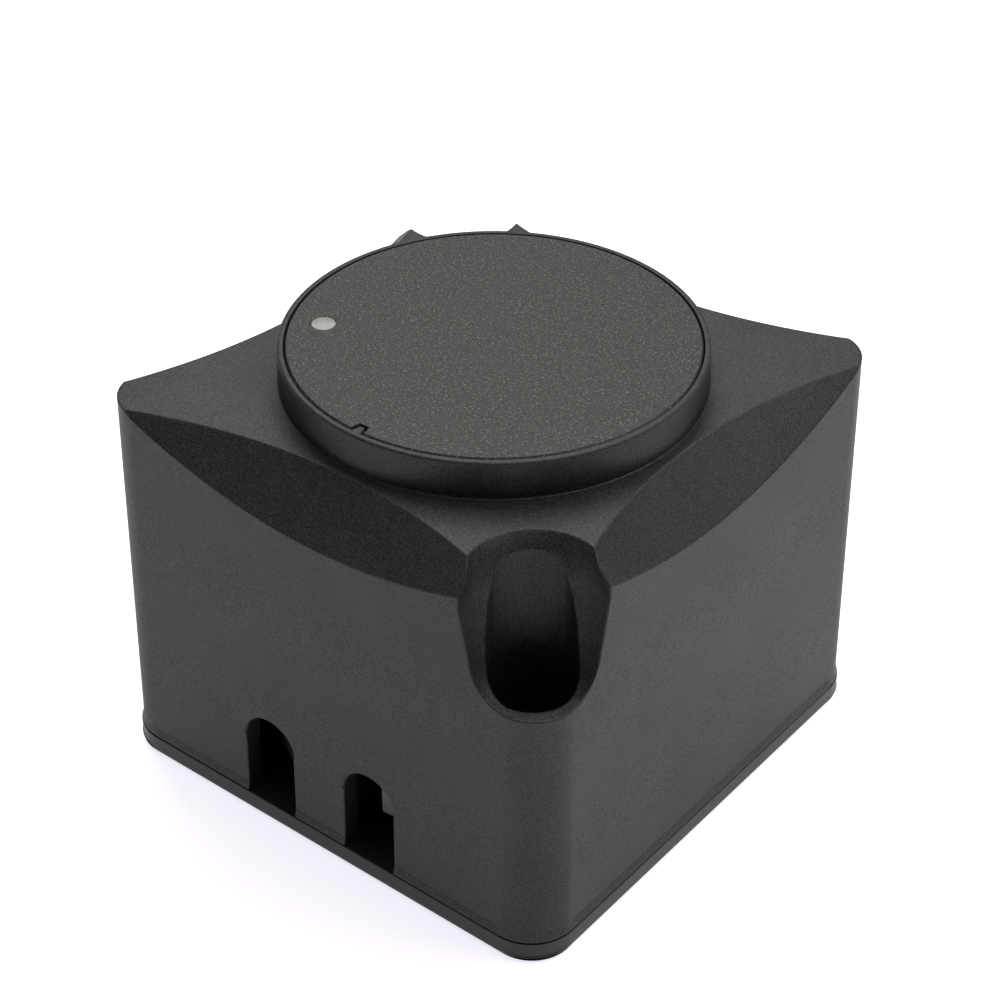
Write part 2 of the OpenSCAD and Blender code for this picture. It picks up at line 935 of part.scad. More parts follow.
module bridge_bar() {
    color([0.74, 0.48, 0.3])
        difference() {
            intersection() {
                block(2 * bridge_half, bridge_w, bridge_z, bridge_top);
                rod(bridge_half, bridge_z - cut, bridge_top + cut);
            }
            rod(bush_r, bridge_z - cut, bridge_top + cut);
        }
}

module bridge_contacts() {
    color([0.86, 0.86, 0.85])
        at_terminals(0)
            rod(button_r, bridge_z - silver_t, bridge_z);
}

module bridge_bush() {
    color([0.85, 0.82, 0.74])
        difference() {
            union() {
                rod(bush_r - press_gap, bridge_z, bridge_top + bush_flange_t / 2);
                rod(bush_flange_r, bridge_top, spring_seat);
            }
            rod(rod_r + slide_gap, bridge_z - cut, spring_seat + cut);
        }
}

module contact_spring() {
    color([0.6, 0.6, 0.62])
        translate([0, 0, spring_seat])
            wire_coil(contact_mean_r, contact_wire_r, contact_spring_h, contact_turns);
}

module retaining_clip() {
    color([0.5, 0.5, 0.52])
        difference() {
            ring(clip_r, rod_r + press_gap, clip_z, clip_z + clip_t);
            translate([clip_r, 0, 0])
                block(2 * clip_r, clip_mouth, clip_z - cut, clip_z + clip_t + cut);
        }
}

module plunger_rod() {
    color([0.8, 0.8, 0.8]) {
        rod(rod_r, clip_z - rod_tail, plunger_top - plunger_cap_t);
        rod(rod_collar_r, rod_collar_z, rod_collar_z + rod_collar_t);
    }
}

// Magnet

module plunger() {
    color([0.62, 0.62, 0.63])
        difference() {
            rod(plunger_r, plunger_z, plunger_top);
            rod(rod_r + press_gap, plunger_z - cut, plunger_top - plunger_cap_t);
            rod(spring_well_r, plunger_z - cut, plunger_z + spring_well);
        }
}

module return_spring() {
    low = core_top - spring_well;
    color([0.6, 0.6, 0.62])
        translate([0, 0, low])
            wire_coil(spring_mean_r, spring_wire_r, plunger_z + spring_well - low, spring_turns);
}

module fixed_core() {
    color([0.62, 0.62, 0.63])
        difference() {
            union() {
                rod(core_r, bobbin_z, core_top);
                rod(core_neck_r, frame_z, bobbin_z + frame_t / 2);
            }
            rod(rod_r + run_gap, frame_z - cut, core_top + cut);
            rod(spring_well_r, core_top - spring_well, core_top + cut);
        }
}

module at_lugs() {
    for (side = [0, 180])
        rotate(side)
            children();
}

module bobbin() {
    top_flange = bobbin_top - bobbin_flange_t;
    color([0.8, 0.76, 0.62])
        difference() {
            union() {
                rod(bobbin_tube_r, bobbin_z, bobbin_top);
                rod(bobbin_flange_r, bobbin_z, bobbin_z + bobbin_flange_t);
                rod(bobbin_flange_r, top_flange, bobbin_top);
                block(2 * lug_x, lug_w, top_flange, bobbin_top);
                at_lugs()
                    for (y = [-peg_y, peg_y])
                        translate([pin_x, y, 0])
                            rod(peg_r, top_flange, board_z);
            }
            rod(bobbin_bore_r, bobbin_z - cut, bobbin_top + cut);
            at_lugs()
                translate([pin_x, 0, 0])
                    rod(pin_r + press_gap, top_flange - cut, bobbin_top + cut);
        }
}

module coil_winding() {
    color([0.7, 0.36, 0.18])
        ring(
            coil_r, bobbin_tube_r + press_gap,
            bobbin_z + bobbin_flange_t + press_gap, bobbin_top - bobbin_flange_t - press_gap
        );
}

module coil_pins() {
    color([0.8, 0.78, 0.7])
        at_lugs()
            translate([pin_x, 0, 0])
                rod(pin_r, bobbin_top - bobbin_flange_t - pin_drop, board_top + pin_rise);
}

module coil_leads() {
    color([0.7, 0.36, 0.18])
        at_lugs()
            translate([coil_r + press_gap, 0, bobbin_top - bobbin_flange_t - pin_drop / 2])
                rotate([0, 90, 0])
                    cylinder(r = lead_r, h = pin_x - pin_r - coil_r - 2 * press_gap);
}

module yoke_frame() {
    frame_d = 2 * (frame_side_y + frame_t);
    color([0.7, 0.7, 0.68])
        difference() {
            union() {
                block(frame_w, frame_d, frame_z, bobbin_z);
                for (side = [-1, 1])
                    translate([0, side * (frame_side_y + frame_t / 2), 0])
                        block(frame_w, frame_t, frame_z, bobbin_top);
            }
            rod(core_neck_r + press_gap, frame_z - cut, bobbin_z + cut);
        }
}

module yoke_plate() {
    frame_d = 2 * (frame_side_y + frame_t);
    color([0.7, 0.7, 0.68])
        difference() {
            block(frame_w, frame_d, bobbin_top, yoke_top);
            rod(plunger_r + run_gap, bobbin_top - cut, yoke_top + cut);
        }
}

// Circuit

module circuit_board() {
    color([0.1, 0.35, 0.18])
        difference() {
            rod(board_r, board_z, board_top);
            at_lugs()
                translate([pin_x, 0, 0])
                    rod(pin_r + hole_gap, board_z - cut, board_top + cut);
            for (place = wires)
                translate([place[0], place[1], 0])
                    rod(wire_r + hole_gap, board_z - cut, board_top + cut);
        }
}

module indicator_light() {
    color([0.8, 0.2, 0.15])
        translate(window_place) {
            rod(led_foot_r, board_top, board_top + led_foot_t);
            rod(window_r, board_top, board_top + led_h - window_r);
            translate([0, 0, board_top + led_h - window_r])
                sphere(window_r);
        }
}

// Moulded package with a row of legs along both long sides
module package(size, legs) {
    leg_w = legs[1];
    pitch = legs[2];
    reach = legs[3];
    translate([-size[0] / 2, -size[1] / 2, board_top + leg_t / 2])
        cube(size);
    for (side = [-1, 1], i = [0:legs[0] - 1])
        translate([(i - (legs[0] - 1) / 2) * pitch, side * (size[1] / 2 + reach / 2), 0]) {
            block(leg_w, reach, board_top, board_top + leg_t);
            translate([0, -side * reach / 2, 0])
                block(leg_w, 2 * leg_t, board_top, board_top + size[2] / 2);
        }
}

module controller_chip() {
    color([0.12, 0.12, 0.12])
        translate(chip_place)
            package(chip_size, chip_legs);
}

module drive_transistor() {
    color([0.12, 0.12, 0.12])
        translate(transistor_place) {
            package(transistor_size, transistor_legs);
            translate([-transistor_tab[0] / 2, transistor_size[1] / 2 - cut, board_top])
                cube([transistor_tab[0], transistor_tab[1] + cut, transistor_tab[2]]);
        }
}

module voltage_regulator() {
    color([0.12, 0.12, 0.12])
        translate(regulator_place)
            package(regulator_size, regulator_legs);
}

module suppression_diode() {
    color([0.12, 0.12, 0.12])
        translate(diode_place) {
            translate([-diode_size[0] / 2, -diode_size[1] / 2, board_top])
                cube(diode_size);
            for (side = [-1, 1])
                translate([side * diode_size[0] / 2, 0, 0])
                    block(2 * diode_cap[0], diode_cap[1], board_top, board_top + diode_cap[2]);
        }
}

module chip_resistors() {
    color([0.2, 0.2, 0.22])
        for (place = resistor_places)
            translate(place)
                block(resistor_size[0], resistor_size[1], board_top, board_top + resistor_size[2]);
}

module smoothing_capacitor() {
    color([0.2, 0.22, 0.4])
        translate([capacitor_x, capacitor_y, 0])
            rod(capacitor_r, board_z - capacitor_h, board_z);
}

module connecting_wires() {
    color([0.75, 0.6, 0.4])
        for (place = wires)
            translate([place[0], place[1], 0])
                rod(wire_r, place[2], board_top + pin_rise);
}

housing();
base_plate();
base_screws();
module_cap();
window_lens();
sealing_ring();
terminal_block();
terminal_bars();
terminal_studs();
flat_washers();
spring_washers();
terminal_nuts();
negative_tab();
contact_posts();
fixed_contacts();
contact_chamber();
bridge_bar();
bridge_contacts();
bridge_bush();
contact_spring();
retaining_clip();
plunger_rod();
plunger();
return_spring();
fixed_core();
bobbin();
coil_winding();
coil_pins();
coil_leads();
yoke_frame();
yoke_plate();
circuit_board();
indicator_light();
controller_chip();
drive_transistor();
voltage_regulator();
suppression_diode();
chip_resistors();
smoothing_capacitor();
connecting_wires();
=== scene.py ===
"""Battery isolator relay: its looks, its stage and its camera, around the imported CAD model."""
import math

import bmesh
import bpy
from mathutils import Matrix, Vector


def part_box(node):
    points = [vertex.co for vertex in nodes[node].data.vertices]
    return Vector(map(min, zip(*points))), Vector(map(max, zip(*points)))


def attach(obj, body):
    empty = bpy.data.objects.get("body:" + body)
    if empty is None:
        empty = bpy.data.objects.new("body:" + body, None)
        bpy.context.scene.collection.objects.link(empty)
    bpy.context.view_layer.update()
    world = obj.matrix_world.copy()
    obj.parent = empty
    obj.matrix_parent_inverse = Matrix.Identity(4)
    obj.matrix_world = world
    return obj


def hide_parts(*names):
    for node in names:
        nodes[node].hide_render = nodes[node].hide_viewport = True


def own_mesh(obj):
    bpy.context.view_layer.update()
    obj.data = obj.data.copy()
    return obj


bl_info = {
    "name": "Battery Isolator Relay",
    "version": (1, 0, 0),
    "blender": (4, 5, 0),
    "location": "3D View > Sidebar > Relay",
    "description": "Dresses the relay's CAD model with its moulded, metal and wound finishes",
    "category": "Object",
}

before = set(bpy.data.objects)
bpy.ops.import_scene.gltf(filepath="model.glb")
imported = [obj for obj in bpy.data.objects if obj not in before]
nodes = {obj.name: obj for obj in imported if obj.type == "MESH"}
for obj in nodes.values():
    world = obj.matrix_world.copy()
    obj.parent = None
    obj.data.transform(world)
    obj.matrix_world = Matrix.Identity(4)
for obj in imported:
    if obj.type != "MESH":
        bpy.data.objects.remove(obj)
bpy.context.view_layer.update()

MM = 0.001

# Degrees between two faces: below the first they are one flat face, above the second a sharp edge
FLAT = 0.3
SHARP = 30


def linear(code):
    """Linear colour of an sRGB hex value."""
    parts = [int(code[i:i + 2], 16) / 255 for i in (1, 3, 5)]
    return tuple(c / 12.92 if c <= 0.04045 else ((c + 0.055) / 1.055) ** 2.4 for c in parts)


def shade(color, share):
    """The colour made lighter or darker, with its alpha."""
    return tuple(min(c * share, 1.0) for c in color[:3]) + (1.0,)


# Sizes and colours that a user would change

class HousingSettings(bpy.types.PropertyGroup):
    """The moulded housing and its base plate"""
    color: bpy.props.FloatVectorProperty(
        name="Nylon", description="Colour of the housing's nylon",
        size=3, min=0, max=1, subtype="COLOR", default=linear("#222223"))
    base_color: bpy.props.FloatVectorProperty(
        name="Base plate", description="Colour of the base plate's plastic",
        size=3, min=0, max=1, subtype="COLOR", default=linear("#252423"))
    edge: bpy.props.FloatProperty(
        name="Edge radius", description="Rounding of the moulded edges",
        unit="LENGTH", subtype="DISTANCE", default=0.4 * MM, min=0)
    grain: bpy.props.FloatProperty(
        name="Grain", description="Size of the texture's grains",
        unit="LENGTH", subtype="DISTANCE", default=0.22 * MM, min=0.01 * MM)


class ModuleSettings(bpy.types.PropertyGroup):
    """The round module's disc and its window"""
    color: bpy.props.FloatVectorProperty(
        name="Disc", description="Colour of the disc's plastic",
        size=3, min=0, max=1, subtype="COLOR", default=linear("#262524"))
    # The specks are a painted highlight: colour painted on the tips of the disc's grain, where
    # light catches
    painted_highlight: bpy.props.FloatVectorProperty(
        name="Specks", description="Colour of the light specks in the disc's grain",
        size=3, min=0, max=1, subtype="COLOR", default=linear("#7C7A78"))
    lens: bpy.props.FloatVectorProperty(
        name="Window", description="Colour of the indicator's window",
        size=3, min=0, max=1, subtype="COLOR", default=linear("#B2B2B0"))
    edge: bpy.props.FloatProperty(
        name="Edge radius", description="Rounding of the disc's edge",
        unit="LENGTH", subtype="DISTANCE", default=0.15 * MM, min=0)
    grain: bpy.props.FloatProperty(
        name="Grain", description="Size of the disc's grains",
        unit="LENGTH", subtype="DISTANCE", default=0.25 * MM, min=0.01 * MM)


class StageSettings(bpy.types.PropertyGroup):
    """Floor, lights and camera"""
    floor: bpy.props.FloatVectorProperty(
        name="Floor", description="Colour of the table that the relay stands on",
        size=3, min=0, max=1, subtype="COLOR", default=linear("#F4F3F4"))
    lens: bpy.props.FloatProperty(
        name="Lens", description="Focal length on a 36 mm sensor, in millimetres",
        default=88.75, min=10)


# Making of meshes

def copy_of(node, name):
    """A clean mesh object of a CAD node: corners that nearly meet become one, and flat faces that
    were cut into triangles are made whole."""
    join = 0.01 * MM
    mesh = nodes[node].data.copy()
    mesh.name = name
    form = bmesh.new()
    form.from_mesh(mesh)
    bmesh.ops.remove_doubles(form, verts=form.verts, dist=join)
    bmesh.ops.dissolve_degenerate(form, edges=form.edges, dist=join)
    bmesh.ops.dissolve_limit(form, angle_limit=math.radians(FLAT), verts=form.verts,
                             edges=form.edges, use_dissolve_boundaries=False, delimit=set())
    bmesh.ops.recalc_face_normals(form, faces=form.faces)
    form.to_mesh(mesh)
    form.free()
    for label in [layer.name for layer in mesh.uv_layers]:
        mesh.uv_layers.remove(mesh.uv_layers[label])
    piece = bpy.data.objects.new(name, mesh)
    bpy.context.scene.collection.objects.link(piece)
    return piece


def room_beside(loop):
    """The least way across the face from a loop's edge, square to it and in the face's plane."""
    start, end = loop.vert.co, loop.link_loop_next.vert.co
    along = (end - start).normalized()
    inward = loop.face.normal.cross(along)
    # One metre is more than any face has
    room = 1.0
    for share in (0.1, 0.5, 0.9):
        at = start.lerp(end, share)
        for other in loop.face.loops:
            first, last = other.vert.co - at, other.link_loop_next.vert.co - at
            x0, x1 = first.dot(along), last.dot(along)
            if other is loop or (x0 > 0) == (x1 > 0):
                continue
            y0, y1 = first.dot(inward), last.dot(inward)
            across = y0 - (y1 - y0) * x0 / (x1 - x0)
            if across > 0:
                room = min(room, across)
    return room


def round_edges(piece, width, share=None):
    """Rounds the piece's sharp edges, as a mould or a tumbling barrel does, where the faces have
    room. share gives an edge's part of the width from its middle point."""
    room_widths, short, turn = 2.2, 1.5 * width, math.radians(8)
    mesh = piece.data
    form = bmesh.new()
    form.from_mesh(mesh)
    weight = form.edges.layers.float.new("bevel_weight_edge")
    for edge in form.edges:
        if len(edge.link_faces) != 2 or edge.calc_face_angle() < math.radians(SHARP):
            continue
        part = share((edge.verts[0].co + edge.verts[1].co) / 2) if share else 1.0
        if part and min(map(room_beside, edge.link_loops)) > room_widths * part * width:
            edge[weight] = part
    # Where a short edge that isn't rounded turns off, the corner stays as it is
    for corner in form.verts:
        turns = any(edge[weight] == 0 and edge.calc_length() < short
                    and edge.calc_face_angle(0) > turn for edge in corner.link_edges)
        if turns:
            for edge in corner.link_edges:
                edge[weight] = 0
    form.to_mesh(mesh)
    form.free()
    bevel = piece.modifiers.new("rounding", "BEVEL")
    bevel.width = width
    bevel.segments = 2
    bevel.limit_method = "WEIGHT"
    bevel.miter_outer = "MITER_ARC"
    bevel.use_clamp_overlap = False
    even_faces(piece)


def fans(corner, limit):
    """The loops round a corner in groups that meet over edges flatter than the limit."""
    left = set(corner.link_loops)
    while left:
        waiting = [left.pop()]
        fan = []
        while waiting:
            loop = waiting.pop()
            fan.append(loop)
            for edge in (loop.edge, loop.link_loop_prev.edge):
                if len(edge.link_faces) == 2 and edge.calc_face_angle() < limit:
                    near = [other for other in left if other.face in edge.link_faces]
                    left.difference_update(near)
                    waiting.extend(near)
        yield fan


def flat_areas(form):
    """For each face, the area of the flat region that it belongs to."""
    limit = math.radians(FLAT)
    area = {}
    for start in form.faces:
        if start in area:
            continue
        region, waiting = {start}, [start]
        while waiting:
            for edge in waiting.pop().edges:
                if len(edge.link_faces) == 2 and edge.calc_face_angle() < limit:
                    near = [face for face in edge.link_faces
                            if face not in region and face.normal.angle(start.normal, 1) < limit]
                    region.update(near)
                    waiting.extend(near)
        whole = sum(face.calc_area() for face in region)
        area.update((face, whole) for face in region)
    return area


def even_faces(piece, angle=SHARP):
    """Applies the piece's modifiers and shades it smooth up to the angle. A face in a large flat
    area stays flat, and the narrow faces beside it turn towards it."""
    large = 40 * MM * MM
    limit = math.radians(angle)
    seen = piece.evaluated_get(bpy.context.evaluated_depsgraph_get())
    mesh = bpy.data.meshes.new_from_object(seen)
    mesh.name = piece.name
    piece.modifiers.clear()
    piece.data = mesh
    form = bmesh.new()
    form.from_mesh(mesh)
    many_sided = [face for face in form.faces if len(face.verts) > 4]
    bmesh.ops.triangulate(form, faces=many_sided, quad_method="BEAUTY", ngon_method="BEAUTY")
    form.to_mesh(mesh)
    form.free()
    mesh.polygons.foreach_set("use_smooth", [True] * len(mesh.polygons))
    mesh.set_sharp_from_angle(angle=limit)
    form = bmesh.new()
    form.from_mesh(mesh)
    loops = [loop for face in form.faces for loop in face.loops]
    place = {loop: i for i, loop in enumerate(loops)}
    area = flat_areas(form)
    normals = [None] * len(loops)
    for corner in form.verts:
        for fan in fans(corner, limit):
            flat = [loop for loop in fan if area[loop.face] > large]
            total = Vector()
            for loop in flat or fan:
                total += loop.face.normal * (area[loop.face] if flat else loop.calc_angle())
            for loop in fan:
                normals[place[loop]] = total.normalized()
    form.free()
    mesh.normals_split_custom_set(normals)
    mesh.update()


def put_on(piece, body, slot, *stands_for):
    """The piece rides on the body and takes the place of the CAD nodes, which are hidden. The slot
    is not used.
    """
    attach(piece, body)
    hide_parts(*stands_for)


def give(target, material):
    """The target's only material."""
    target.data.materials.clear()
    target.data.materials.append(material)


def dress(material, *names):
    """Gives CAD nodes their finish."""
    for name in names:
        give(nodes[name], material)


# Making of nodes

def add(tree, kind, inputs=(), **settings):
    """Adds a node with its settings; an input is a value or the socket that feeds it."""
    node = tree.nodes.new(kind)
    for key, value in settings.items():
        setattr(node, key, value)
    for key, value in dict(inputs).items():
        if isinstance(value, bpy.types.NodeSocket):
            tree.links.new(value, node.inputs[key])
        else:
            node.inputs[key].default_value = value
    return node


def finish(name, **sockets):
    """A new material with its tree, its shader set as the sockets say, and a point's place in
    metres."""
    material = bpy.data.materials.new(name)
    material.use_nodes = True
    tree = material.node_tree
    shader = tree.nodes["Principled BSDF"]
    for key, value in sockets.items():
        shader.inputs[key.replace("_", " ")].default_value = value
    place = add(tree, "ShaderNodeTexCoord").outputs["Object"]
    return material, tree, shader, place


def feed(tree, shader, **sockets):
    """Links the sockets to the shader's inputs of those names."""
    for key, socket in sockets.items():
        tree.links.new(socket, shader.inputs[key.replace("_", " ")])


def noise(tree, place, size, detail=3.0, roughness=0.5):
    """A cloudy factor whose marks have the size."""
    return add(tree, "ShaderNodeTexNoise", {
        "Vector": place, "Scale": 1 / size, "Detail": detail,
        "Roughness": roughness}).outputs["Fac"]


def bands(tree, place, pitch, distortion=0.0, detail=2.0):
    """A factor that waves up and down one pitch apart along Z. At scale 1 the node's own waves
    lie tau / 20 apart."""
    return add(tree, "ShaderNodeTexWave", {
        "Vector": place, "Scale": math.tau / (20 * pitch), "Distortion": distortion,
        "Detail": detail}, wave_type="BANDS", bands_direction="Z").outputs["Fac"]


def ramp(tree, factor, *stops):
    """Colour that goes through the stops, each a place from 0 to 1 and a colour."""
    node = add(tree, "ShaderNodeValToRGB", {"Fac": factor})
    while len(node.color_ramp.elements) < len(stops):
        node.color_ramp.elements.new(0.5)
    for element, (at, color) in zip(node.color_ramp.elements, stops):
        element.position = at
        element.color = color
    return node.outputs["Color"]


def level(tree, factor, low, high, start=0.0, end=1.0):
    """A factor that runs from start to end, stretched to run from low to high."""
    return add(tree, "ShaderNodeMapRange", {
        "Value": factor, "From Min": start, "From Max": end, "To Min": low,
        "To Max": high}).outputs["Result"]


def maths(tree, operation, *values):
    """The outcome of the operation on values or sockets."""
    return add(tree, "ShaderNodeMath", enumerate(values), operation=operation).outputs[0]


def norm(tree, vector):
    """The vector's length."""
    return add(tree, "ShaderNodeVectorMath", {0: vector}, operation="LENGTH").outputs["Value"]


def relief(tree, height, strength, depth):
    """A bump node that raises and sinks the face by the height, up to the depth."""
    return add(tree, "ShaderNodeBump", {"Height": height, "Strength": strength, "Distance": depth})


def soft_edges(tree, radius):
    """A normal that turns over every edge within the radius, as a moulded edge does."""
    return add(tree, "ShaderNodeBevel", {"Radius": radius}, samples=8).outputs["Normal"]


# Making of materials

def eroded_nylon(name, color, grain, roughness, edge, bore_r, seam_z):
    """Nylon with glass fibre, moulded in a spark-eroded tool: a fine even grain that scatters
    the light, with faint flow marks of the melt, and a soft sheen at a low angle."""
    flow_size, flow_share, spread, depth = 9 * MM, 0.14, 0.14, 0.035 * MM
    bore_band, seam_band, crisp_part = 0.35 * MM, 0.45 * MM, 0.2
    material, tree, shader, place = finish(name, IOR=1.53)
    fine = noise(tree, place, grain, 2.0, 0.6)
    flow = noise(tree, place, flow_size)
    both = add(tree, "ShaderNodeMix", {0: flow_share, 2: fine, 3: flow},
               data_type="FLOAT").outputs[0]
    # Painted shade and painted highlight of the grain: its pits are painted black and its tips
    # lighter than the plastic's own colour
    tint = ramp(tree, both, (0.42, shade(color, 0.0)), (0.6, shade(color, 2.3)))
    gloss = level(tree, both, roughness + spread, roughness - spread)
    # The edges at the collar's bore and over the base plate are crisp, the others are rounded
    flat = add(tree, "ShaderNodeVectorMath", {0: place, 1: (1, 1, 0)},
               operation="MULTIPLY").outputs["Vector"]
    up = add(tree, "ShaderNodeSeparateXYZ", {"Vector": place}).outputs["Z"]
    bore = maths(tree, "COMPARE", norm(tree, flat), bore_r, bore_band)
    seam = maths(tree, "COMPARE", up, seam_z, seam_band)
    crisp = maths(tree, "MAXIMUM", bore, seam)
    bump = relief(tree, fine, 0.9, depth)
    tree.links.new(soft_edges(tree, level(tree, crisp, edge, crisp_part * edge)),
                   bump.inputs["Normal"])
    feed(tree, shader, Base_Color=tint, Roughness=gloss, Normal=bump.outputs["Normal"])
    return material


def grained_plastic_painted_highlights(name, color, painted_highlight, grain):
    """Plastic moulded in a coarsely grained tool. The specks on the tips of the grains are painted
    highlights, and the grains' pits are painted darker as shade."""
    material, tree, shader, place = finish(name, IOR=1.53)
    grains = noise(tree, place, grain, 3.0, 0.65)
    # Painted shade in the grains' pits, and painted highlights as specks on their tips
    tint = ramp(tree, grains, (0.4, shade(color, 0.35)), (0.56, shade(color, 1.3)),
                (0.7, shade(painted_highlight, 1)))
    bump = relief(tree, grains, 0.6, 0.04 * MM)
    feed(tree, shader, Base_Color=tint, Roughness=level(tree, grains, 0.62, 0.42),
         Normal=bump.outputs["Normal"])
    return material


def plain_moulding(name, color, roughness, grain=0.5 * MM, ior=1.5, edge=0.0):
    """Plastic moulded in a polished or worn tool: smooth, with a faint unevenness in its gloss."""
    material, tree, shader, place = finish(name, IOR=ior)
    wave = noise(tree, place, grain)
    tint = ramp(tree, wave, (0.3, shade(color, 0.9)), (0.7, shade(color, 1.1)))
    gloss = level(tree, wave, roughness - 0.05, roughness + 0.05)
    bump = relief(tree, wave, 0.15, 0.02 * MM)
    if edge:
        tree.links.new(soft_edges(tree, edge), bump.inputs["Normal"])
    feed(tree, shader, Base_Color=tint, Roughness=gloss, Normal=bump.outputs["Normal"])
    return material


def clear_plastic(name, color, clearness):
    """Tinted epoxy or milky acrylic: the light goes in a little and the face shines."""
    material, tree, shader, place = finish(name, IOR=1.49, Transmission_Weight=clearness)
    haze = noise(tree, place, 0.8 * MM, 2.0)
    tint = ramp(tree, haze, (0.3, shade(color, 0.94)), (0.7, shade(color, 1.04)))
    feed(tree, shader, Base_Color=tint, Roughness=level(tree, haze, 0.22, 0.34))
    return material


def rubber(name, color):
    """Moulded nitrile rubber: dull, with the fine matte skin of its tool."""
    material, tree, shader, place = finish(name, IOR=1.52)
    skin = noise(tree, place, 0.4 * MM)
    tint = ramp(tree, skin, (0.3, shade(color, 0.8)), (0.7, shade(color, 1.25)))
    feed(tree, shader, Base_Color=tint, Roughness=level(tree, skin, 0.75, 0.9))
    return material


def worked_metal(name, color, roughness, line, across, depth=0.01 * MM):
    """Drawn, rolled or turned metal: fine lines along the way it was worked stretch its highlights.
    The lines are drawn somewhat coarser than real ones, so that they show. across says how fast
    they change along each axis, so they run along the axis with the smallest part."""
    material, tree, shader, place = finish(name, Metallic=1.0)
    laid = add(tree, "ShaderNodeMapping", {"Vector": place, "Scale": across}).outputs["Vector"]
    lines = noise(tree, laid, line, 4.0, 0.6)
    tint = ramp(tree, lines, (0.3, shade(color, 0.86)), (0.7, shade(color, 1.08)))
    gloss = level(tree, lines, roughness - 0.08, roughness + 0.1)
    bump = relief(tree, lines, 0.3, depth)
    feed(tree, shader, Base_Color=tint, Roughness=gloss, Normal=bump.outputs["Normal"])
    return material


def ridged_metal(name, color, roughness, pitch):
    """Zinc plated thread: ridges one pitch apart along the stud."""
    material, tree, shader, place = finish(name, Metallic=1.0)
    stain = noise(tree, place, 1.5 * MM)
    tint = ramp(tree, stain, (0.3, shade(color, 0.85)), (0.7, shade(color, 1.08)))
    gloss = level(tree, stain, roughness - 0.06, roughness + 0.1)
    bump = relief(tree, bands(tree, place, pitch), 1.0, 0.25 * MM)
    feed(tree, shader, Base_Color=tint, Roughness=gloss, Normal=bump.outputs["Normal"])
    return material


def wound_wire(name, color, pitch):
    """Enamelled copper wire in layers: turns one pitch apart, each with a painted highlight along
    its crown and painted shade in the groove between turns. The turns are drawn coarser than the
    real 0.3 mm wire, so that they show."""
    material, tree, shader, place = finish(name, IOR=1.6, Metallic=0.6, Roughness=0.3,
                                           Coat_Weight=0.6, Coat_Roughness=0.12)
    turns = bands(tree, place, pitch, 0.4, 1.0)
    # Painted shade in the grooves between turns and a painted highlight along each turn's crown
    tint = ramp(tree, turns, (0.0, shade(color, 0.35)), (0.5, shade(color, 1.0)),
                (1.0, shade(color, 1.3)))
    bump = relief(tree, turns, 0.9, 0.15 * MM)
    feed(tree, shader, Base_Color=tint, Normal=bump.outputs["Normal"])
    return material


def board_laminate(name, color, track):
    """Glass epoxy laminate under a green solder mask: glossy, with faint lighter tracks below
    the mask."""
    material, tree, shader, place = finish(name, IOR=1.55, Roughness=0.35, Coat_Weight=0.5,
                                           Coat_Roughness=0.1)
    tracks = add(tree, "ShaderNodeTexBrick", {
        "Vector": place, "Scale": 1 / (6 * MM), "Color1": shade(color, 1),
        "Color2": shade(color, 1.1), "Mortar": shade(track, 1), "Mortar Size": 0.06,
        "Mortar Smooth": 0.1}, offset=0.37).outputs["Color"]
    feed(tree, shader, Base_Color=tracks)
    return material


# Stage

def set_camera(scene, lens):
    """The photograph's camera, solved from the relay's corners and circles."""
    data = bpy.data.cameras.new("photo_camera")
    data.lens = lens
    data.sensor_width = 36
    data.clip_start = 0.01
    data.clip_end = 20
    camera = bpy.data.objects.new("photo_camera", data)
    scene.collection.objects.link(camera)
    place = Vector((0.15301, -0.19184, 0.21202))
    right = Vector((0.7826, 0.6226, 0.0024))
    down = Vector((0.3676, -0.4591, -0.8088))
    ahead = Vector((-0.5024, 0.6338, -0.5881))
    camera.matrix_world = Matrix((
        (right.x, -down.x, -ahead.x, place.x),
        (right.y, -down.y, -ahead.y, place.y),
        (right.z, -down.z, -ahead.z, place.z),
        (0, 0, 0, 1),
    ))
    scene.camera = camera


def lay_floor(scene, color):
    """A white table, just below the relay so that the two don't share a plane."""
    half, gap = 3.0, 0.05 * MM
    mesh = bpy.data.meshes.new("floor")
    corners = [(-half, -half, 0), (half, -half, 0), (half, half, 0), (-half, half, 0)]
    mesh.from_pydata(corners, [], [(0, 1, 2, 3)])
    floor = bpy.data.objects.new("floor", mesh)
    floor.location.z = -gap
    scene.collection.objects.link(floor)
    material, tree, shader, place = finish("white_paper_table", IOR=1.45, Roughness=0.6,
                                           Emission_Color=shade(linear("#F8F4FF"), 1))
    mottle = noise(tree, place, 40 * MM, 2.0)
    tint = ramp(tree, mottle, (0.3, shade(color, 0.985)), (0.7, shade(color, 1.0)))
    # White is added for the camera, more so where the lamps no longer reach, and for reflections
    near, far, white_near, white_far, white_mirrored = 0.3, 1.5, 0.8, 1.0, 0.49
    path = add(tree, "ShaderNodeLightPath").outputs
    white = level(tree, norm(tree, place), white_near, white_far, near, far)
    seen = maths(tree, "MULTIPLY", white, path["Is Camera Ray"])
    mirrored = level(tree, path["Is Glossy Ray"], 0.0, white_mirrored)
    feed(tree, shader, Base_Color=tint, Emission_Strength=maths(tree, "MAXIMUM", seen, mirrored))
    give(floor, material)


